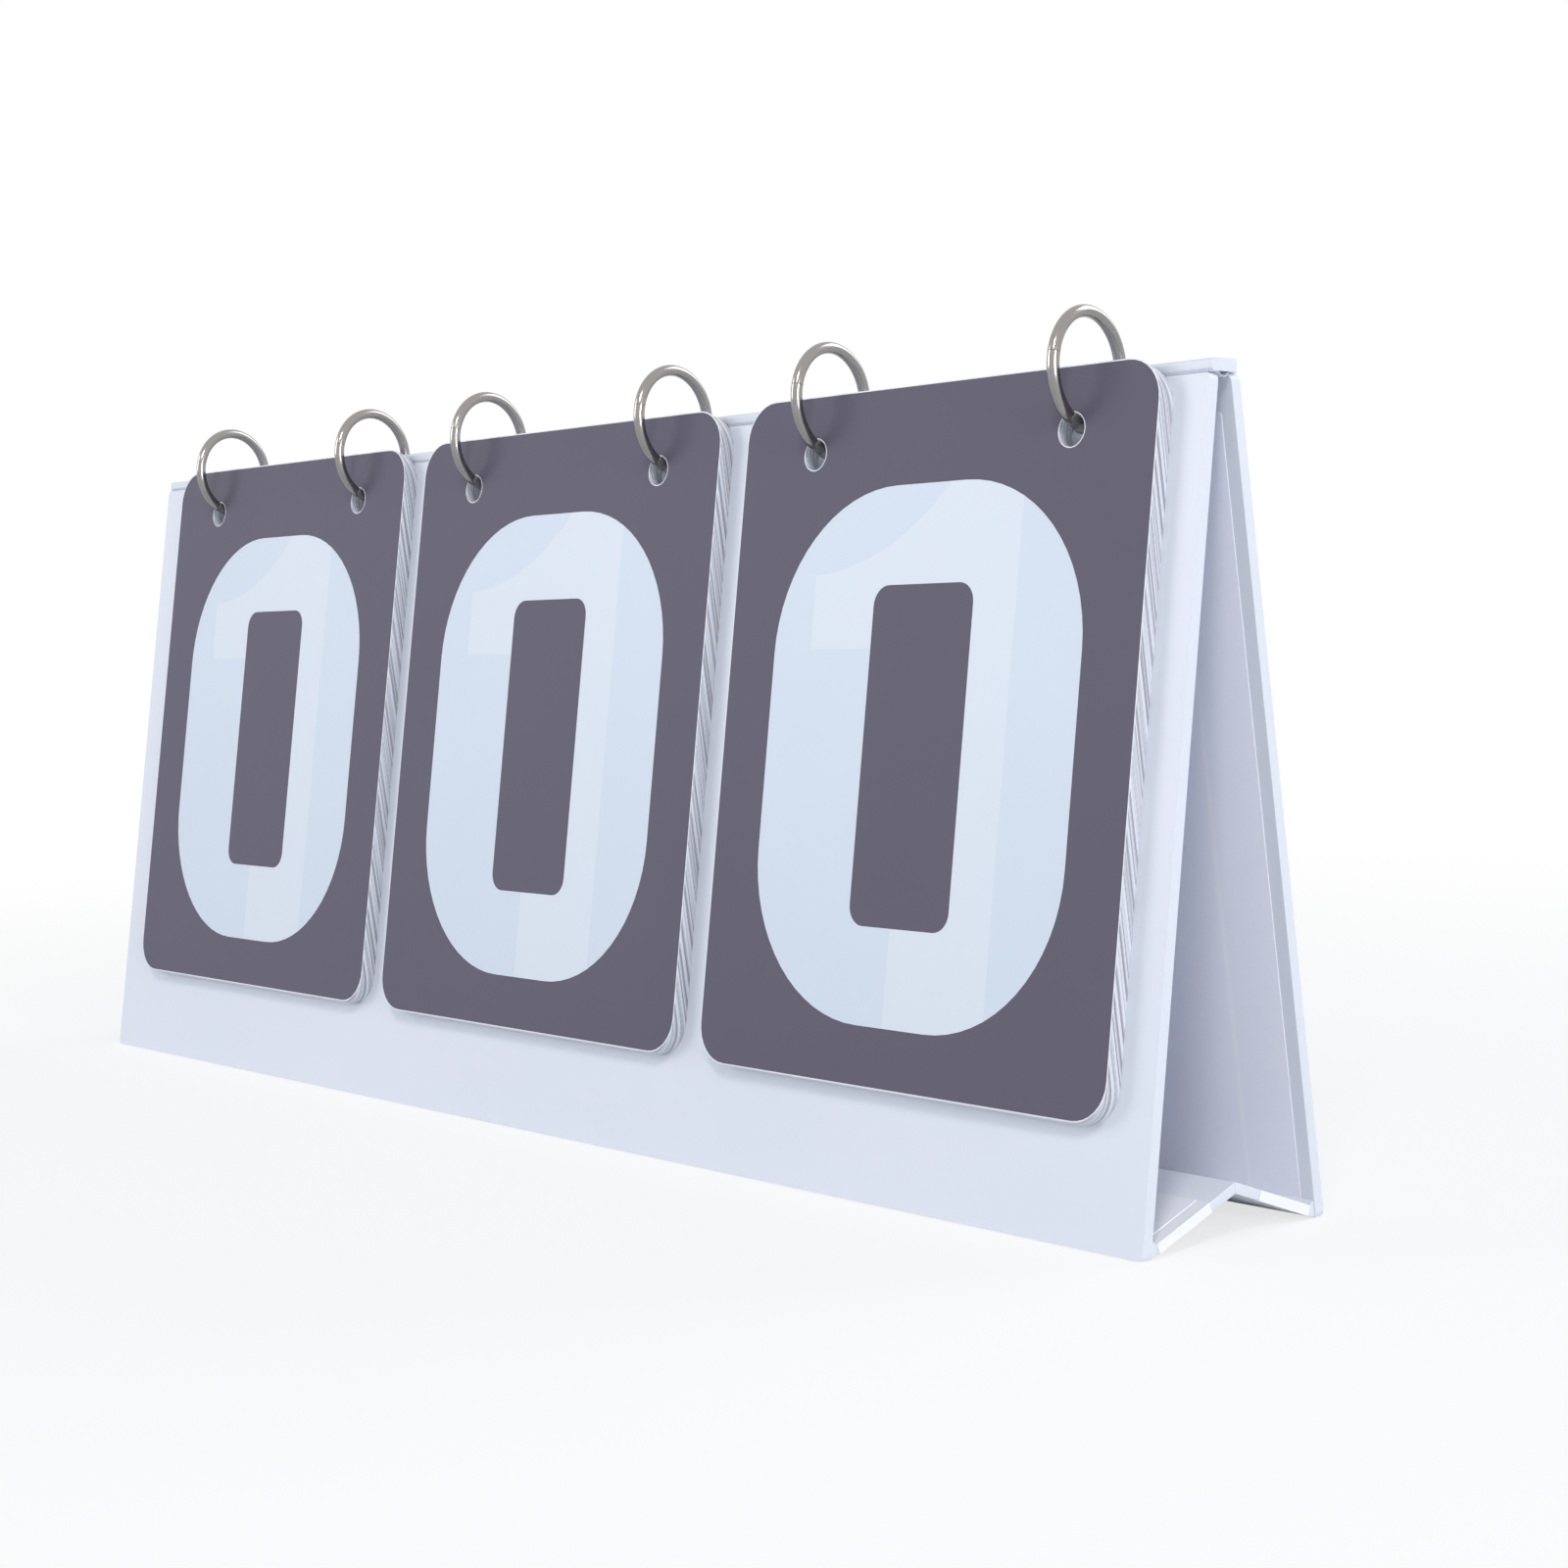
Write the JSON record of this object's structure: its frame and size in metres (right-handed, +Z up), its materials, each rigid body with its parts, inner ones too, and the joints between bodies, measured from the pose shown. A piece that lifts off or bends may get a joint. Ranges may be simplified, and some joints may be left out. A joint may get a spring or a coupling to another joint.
{
  "type": "tabletop flip scoreboard",
  "caption": "White folding easel stand with three decks of number cards, each deck flipping over its own pair of hinged metal rings to show a score.",
  "frame": {"origin": "middle of the footprint, on the table under the ridge", "axes": "+Z up; +X along the width, to the right of a reader who faces the cards; the cards face -Y"},
  "size_m": [0.38, 0.0517, 0.1702],
  "materials": {
    "cover_paper": "laminated white cover on greyboard, satin",
    "cover_hinge": "laminated white cover, satin, flexible",
    "lining_paper": "matt lining sheet",
    "card_plastic": "printed, matt",
    "ring_nickel": "bright nickel plate"
  },
  "bodies": {
    "front_stand": {"front_panel": "cover_paper", "front_liner": "lining_paper", "front_foot_strip": "cover_hinge", "ring_rivets": "ring_nickel", "ring_lower_1": "ring_nickel", "ring_lower_2": "ring_nickel", "ring_lower_3": "ring_nickel", "ring_lower_4": "ring_nickel", "ring_lower_5": "ring_nickel", "ring_lower_6": "ring_nickel"},
    "ridge": {"ridge_board": "cover_paper"},
    "back_stand": {"back_panel": "cover_paper", "back_liner": "lining_paper", "back_foot_strip": "cover_hinge"},
    "base_front_half": {"base_front": "cover_paper", "base_front_liner": "lining_paper", "crease_front": "cover_hinge"},
    "base_back_half": {"base_back": "cover_paper", "base_back_liner": "lining_paper", "crease_back": "cover_hinge"},
    "ring_1": {"ring_upper_1": "ring_nickel"},
    "ring_2": {"ring_upper_2": "ring_nickel"},
    "ring_3": {"ring_upper_3": "ring_nickel"},
    "ring_4": {"ring_upper_4": "ring_nickel"},
    "ring_5": {"ring_upper_5": "ring_nickel"},
    "ring_6": {"ring_upper_6": "ring_nickel"},
    "card_left_0": {"card_left_0": "card_plastic"},
    "card_left_1": {"card_left_1": "card_plastic"},
    "card_left_2": {"card_left_2": "card_plastic"},
    "card_left_3": {"card_left_3": "card_plastic"},
    "card_left_4": {"card_left_4": "card_plastic"},
    "card_left_5": {"card_left_5": "card_plastic"},
    "card_left_6": {"card_left_6": "card_plastic"},
    "card_left_7": {"card_left_7": "card_plastic"},
    "card_left_8": {"card_left_8": "card_plastic"},
    "card_left_9": {"card_left_9": "card_plastic"},
    "card_middle_0": {"card_middle_0": "card_plastic"},
    "card_middle_1": {"card_middle_1": "card_plastic"},
    "card_middle_2": {"card_middle_2": "card_plastic"},
    "card_middle_3": {"card_middle_3": "card_plastic"},
    "card_middle_4": {"card_middle_4": "card_plastic"},
    "card_middle_5": {"card_middle_5": "card_plastic"},
    "card_middle_6": {"card_middle_6": "card_plastic"},
    "card_middle_7": {"card_middle_7": "card_plastic"},
    "card_middle_8": {"card_middle_8": "card_plastic"},
    "card_middle_9": {"card_middle_9": "card_plastic"},
    "card_right_0": {"card_right_0": "card_plastic"},
    "card_right_1": {"card_right_1": "card_plastic"},
    "card_right_2": {"card_right_2": "card_plastic"},
    "card_right_3": {"card_right_3": "card_plastic"},
    "card_right_4": {"card_right_4": "card_plastic"},
    "card_right_5": {"card_right_5": "card_plastic"},
    "card_right_6": {"card_right_6": "card_plastic"},
    "card_right_7": {"card_right_7": "card_plastic"},
    "card_right_8": {"card_right_8": "card_plastic"},
    "card_right_9": {"card_right_9": "card_plastic"}
  },
  "joints": [
    {"name": "fold", "type": "hinge", "parent": "front_stand", "child": "ridge", "pos_m": [0, -0.004, 0.15551], "axis": [-1, 0, 0], "range_deg": [0, 7.26]},
    {"name": "ridge_back_fold", "type": "hinge", "parent": "ridge", "child": "back_stand", "pos_m": [0, 0.004, 0.15551], "axis": [-1, 0, 0], "range_deg": [0, 7.26]},
    {"name": "base_front_fold", "type": "hinge", "parent": "front_stand", "child": "base_front_half", "pos_m": [0, -0.02226, 0.0028], "axis": [1, 0, 0], "range_deg": [0, 62.22], "deforming": ["front_foot_strip", "crease_front"]},
    {"name": "base_back_fold", "type": "hinge", "parent": "back_stand", "child": "base_back_half", "pos_m": [0, 0.02226, 0.0028], "axis": [-1, 0, 0], "range_deg": [0, 62.22], "deforming": ["back_foot_strip", "crease_back"]},
    {"name": "ring_1_open", "type": "hinge", "parent": "front_stand", "child": "ring_1", "pos_m": [-0.15501, 0.00651, 0.15572], "axis": [0.9925, 0.1219, 0], "range_deg": [-95, 0]},
    {"name": "ring_2_open", "type": "hinge", "parent": "front_stand", "child": "ring_2", "pos_m": [-0.08452, 0.00651, 0.15572], "axis": [0.9925, 0.1219, 0], "range_deg": [-95, 0]},
    {"name": "ring_3_open", "type": "hinge", "parent": "front_stand", "child": "ring_3", "pos_m": [-0.03302, 0.00651, 0.15572], "axis": [0.9925, 0.1219, 0], "range_deg": [-95, 0]},
    {"name": "ring_4_open", "type": "hinge", "parent": "front_stand", "child": "ring_4", "pos_m": [0.03748, 0.00651, 0.15572], "axis": [0.9925, 0.1219, 0], "range_deg": [-95, 0]},
    {"name": "ring_5_open", "type": "hinge", "parent": "front_stand", "child": "ring_5", "pos_m": [0.08898, 0.00651, 0.15572], "axis": [0.9925, 0.1219, 0], "range_deg": [-95, 0]},
    {"name": "ring_6_open", "type": "hinge", "parent": "front_stand", "child": "ring_6", "pos_m": [0.15948, 0.00651, 0.15572], "axis": [0.9925, 0.1219, 0], "range_deg": [-95, 0]},
    {"name": "flip_left_0", "type": "hinge", "parent": "front_stand", "child": "card_left_0", "pos_m": [-0.1185, -0.0038, 0.15831], "axis": [-1, 0, 0], "range_deg": [0, 165]},
    {"name": "flip_left_1", "type": "hinge", "parent": "front_stand", "child": "card_left_1", "pos_m": [-0.1185, -0.0038, 0.15831], "axis": [-1, 0, 0], "range_deg": [0, 148.5]},
    {"name": "flip_left_2", "type": "hinge", "parent": "front_stand", "child": "card_left_2", "pos_m": [-0.1185, -0.0038, 0.15831], "axis": [-1, 0, 0], "range_deg": [0, 132]},
    {"name": "flip_left_3", "type": "hinge", "parent": "front_stand", "child": "card_left_3", "pos_m": [-0.1185, -0.0038, 0.15831], "axis": [-1, 0, 0], "range_deg": [0, 115.5]},
    {"name": "flip_left_4", "type": "hinge", "parent": "front_stand", "child": "card_left_4", "pos_m": [-0.1185, -0.0038, 0.15831], "axis": [-1, 0, 0], "range_deg": [0, 99]},
    {"name": "flip_left_5", "type": "hinge", "parent": "front_stand", "child": "card_left_5", "pos_m": [-0.1185, -0.0038, 0.15831], "axis": [-1, 0, 0], "range_deg": [0, 82.5]},
    {"name": "flip_left_6", "type": "hinge", "parent": "front_stand", "child": "card_left_6", "pos_m": [-0.1185, -0.0038, 0.15831], "axis": [-1, 0, 0], "range_deg": [0, 66]},
    {"name": "flip_left_7", "type": "hinge", "parent": "front_stand", "child": "card_left_7", "pos_m": [-0.1185, -0.0038, 0.15831], "axis": [-1, 0, 0], "range_deg": [0, 49.5]},
    {"name": "flip_left_8", "type": "hinge", "parent": "front_stand", "child": "card_left_8", "pos_m": [-0.1185, -0.0038, 0.15831], "axis": [-1, 0, 0], "range_deg": [0, 33]},
    {"name": "flip_left_9", "type": "hinge", "parent": "front_stand", "child": "card_left_9", "pos_m": [-0.1185, -0.0038, 0.15831], "axis": [-1, 0, 0], "range_deg": [0, 16.5]},
    {"name": "flip_middle_0", "type": "hinge", "parent": "front_stand", "child": "card_middle_0", "pos_m": [0.0035, -0.0038, 0.15831], "axis": [-1, 0, 0], "range_deg": [0, 165]},
    {"name": "flip_middle_1", "type": "hinge", "parent": "front_stand", "child": "card_middle_1", "pos_m": [0.0035, -0.0038, 0.15831], "axis": [-1, 0, 0], "range_deg": [0, 148.5]},
    {"name": "flip_middle_2", "type": "hinge", "parent": "front_stand", "child": "card_middle_2", "pos_m": [0.0035, -0.0038, 0.15831], "axis": [-1, 0, 0], "range_deg": [0, 132]},
    {"name": "flip_middle_3", "type": "hinge", "parent": "front_stand", "child": "card_middle_3", "pos_m": [0.0035, -0.0038, 0.15831], "axis": [-1, 0, 0], "range_deg": [0, 115.5]},
    {"name": "flip_middle_4", "type": "hinge", "parent": "front_stand", "child": "card_middle_4", "pos_m": [0.0035, -0.0038, 0.15831], "axis": [-1, 0, 0], "range_deg": [0, 99]},
    {"name": "flip_middle_5", "type": "hinge", "parent": "front_stand", "child": "card_middle_5", "pos_m": [0.0035, -0.0038, 0.15831], "axis": [-1, 0, 0], "range_deg": [0, 82.5]},
    {"name": "flip_middle_6", "type": "hinge", "parent": "front_stand", "child": "card_middle_6", "pos_m": [0.0035, -0.0038, 0.15831], "axis": [-1, 0, 0], "range_deg": [0, 66]},
    {"name": "flip_middle_7", "type": "hinge", "parent": "front_stand", "child": "card_middle_7", "pos_m": [0.0035, -0.0038, 0.15831], "axis": [-1, 0, 0], "range_deg": [0, 49.5]},
    {"name": "flip_middle_8", "type": "hinge", "parent": "front_stand", "child": "card_middle_8", "pos_m": [0.0035, -0.0038, 0.15831], "axis": [-1, 0, 0], "range_deg": [0, 33]},
    {"name": "flip_middle_9", "type": "hinge", "parent": "front_stand", "child": "card_middle_9", "pos_m": [0.0035, -0.0038, 0.15831], "axis": [-1, 0, 0], "range_deg": [0, 16.5]},
    {"name": "flip_right_0", "type": "hinge", "parent": "front_stand", "child": "card_right_0", "pos_m": [0.1255, -0.0038, 0.15831], "axis": [-1, 0, 0], "range_deg": [0, 165]},
    {"name": "flip_right_1", "type": "hinge", "parent": "front_stand", "child": "card_right_1", "pos_m": [0.1255, -0.0038, 0.15831], "axis": [-1, 0, 0], "range_deg": [0, 148.5]},
    {"name": "flip_right_2", "type": "hinge", "parent": "front_stand", "child": "card_right_2", "pos_m": [0.1255, -0.0038, 0.15831], "axis": [-1, 0, 0], "range_deg": [0, 132]},
    {"name": "flip_right_3", "type": "hinge", "parent": "front_stand", "child": "card_right_3", "pos_m": [0.1255, -0.0038, 0.15831], "axis": [-1, 0, 0], "range_deg": [0, 115.5]},
    {"name": "flip_right_4", "type": "hinge", "parent": "front_stand", "child": "card_right_4", "pos_m": [0.1255, -0.0038, 0.15831], "axis": [-1, 0, 0], "range_deg": [0, 99]},
    {"name": "flip_right_5", "type": "hinge", "parent": "front_stand", "child": "card_right_5", "pos_m": [0.1255, -0.0038, 0.15831], "axis": [-1, 0, 0], "range_deg": [0, 82.5]},
    {"name": "flip_right_6", "type": "hinge", "parent": "front_stand", "child": "card_right_6", "pos_m": [0.1255, -0.0038, 0.15831], "axis": [-1, 0, 0], "range_deg": [0, 66]},
    {"name": "flip_right_7", "type": "hinge", "parent": "front_stand", "child": "card_right_7", "pos_m": [0.1255, -0.0038, 0.15831], "axis": [-1, 0, 0], "range_deg": [0, 49.5]},
    {"name": "flip_right_8", "type": "hinge", "parent": "front_stand", "child": "card_right_8", "pos_m": [0.1255, -0.0038, 0.15831], "axis": [-1, 0, 0], "range_deg": [0, 33]},
    {"name": "flip_right_9", "type": "hinge", "parent": "front_stand", "child": "card_right_9", "pos_m": [0.1255, -0.0038, 0.15831], "axis": [-1, 0, 0], "range_deg": [0, 16.5]}
  ],
  "couplings": [
    {"joint": "ridge_back_fold", "follows": "fold", "ratio": 1},
    {"joint": "base_front_fold", "follows": "fold", "ratio": 8.5672},
    {"joint": "base_back_fold", "follows": "fold", "ratio": 8.5672},
    {"joint": "flip_left_1", "follows": "flip_left_0", "ratio": 0.9},
    {"joint": "flip_left_2", "follows": "flip_left_0", "ratio": 0.8},
    {"joint": "flip_left_3", "follows": "flip_left_0", "ratio": 0.7},
    {"joint": "flip_left_4", "follows": "flip_left_0", "ratio": 0.6},
    {"joint": "flip_left_5", "follows": "flip_left_0", "ratio": 0.5},
    {"joint": "flip_left_6", "follows": "flip_left_0", "ratio": 0.4},
    {"joint": "flip_left_7", "follows": "flip_left_0", "ratio": 0.3},
    {"joint": "flip_left_8", "follows": "flip_left_0", "ratio": 0.2},
    {"joint": "flip_left_9", "follows": "flip_left_0", "ratio": 0.1},
    {"joint": "flip_middle_1", "follows": "flip_middle_0", "ratio": 0.9},
    {"joint": "flip_middle_2", "follows": "flip_middle_0", "ratio": 0.8},
    {"joint": "flip_middle_3", "follows": "flip_middle_0", "ratio": 0.7},
    {"joint": "flip_middle_4", "follows": "flip_middle_0", "ratio": 0.6},
    {"joint": "flip_middle_5", "follows": "flip_middle_0", "ratio": 0.5},
    {"joint": "flip_middle_6", "follows": "flip_middle_0", "ratio": 0.4},
    {"joint": "flip_middle_7", "follows": "flip_middle_0", "ratio": 0.3},
    {"joint": "flip_middle_8", "follows": "flip_middle_0", "ratio": 0.2},
    {"joint": "flip_middle_9", "follows": "flip_middle_0", "ratio": 0.1},
    {"joint": "flip_right_1", "follows": "flip_right_0", "ratio": 0.9},
    {"joint": "flip_right_2", "follows": "flip_right_0", "ratio": 0.8},
    {"joint": "flip_right_3", "follows": "flip_right_0", "ratio": 0.7},
    {"joint": "flip_right_4", "follows": "flip_right_0", "ratio": 0.6},
    {"joint": "flip_right_5", "follows": "flip_right_0", "ratio": 0.5},
    {"joint": "flip_right_6", "follows": "flip_right_0", "ratio": 0.4},
    {"joint": "flip_right_7", "follows": "flip_right_0", "ratio": 0.3},
    {"joint": "flip_right_8", "follows": "flip_right_0", "ratio": 0.2},
    {"joint": "flip_right_9", "follows": "flip_right_0", "ratio": 0.1}
  ]
}
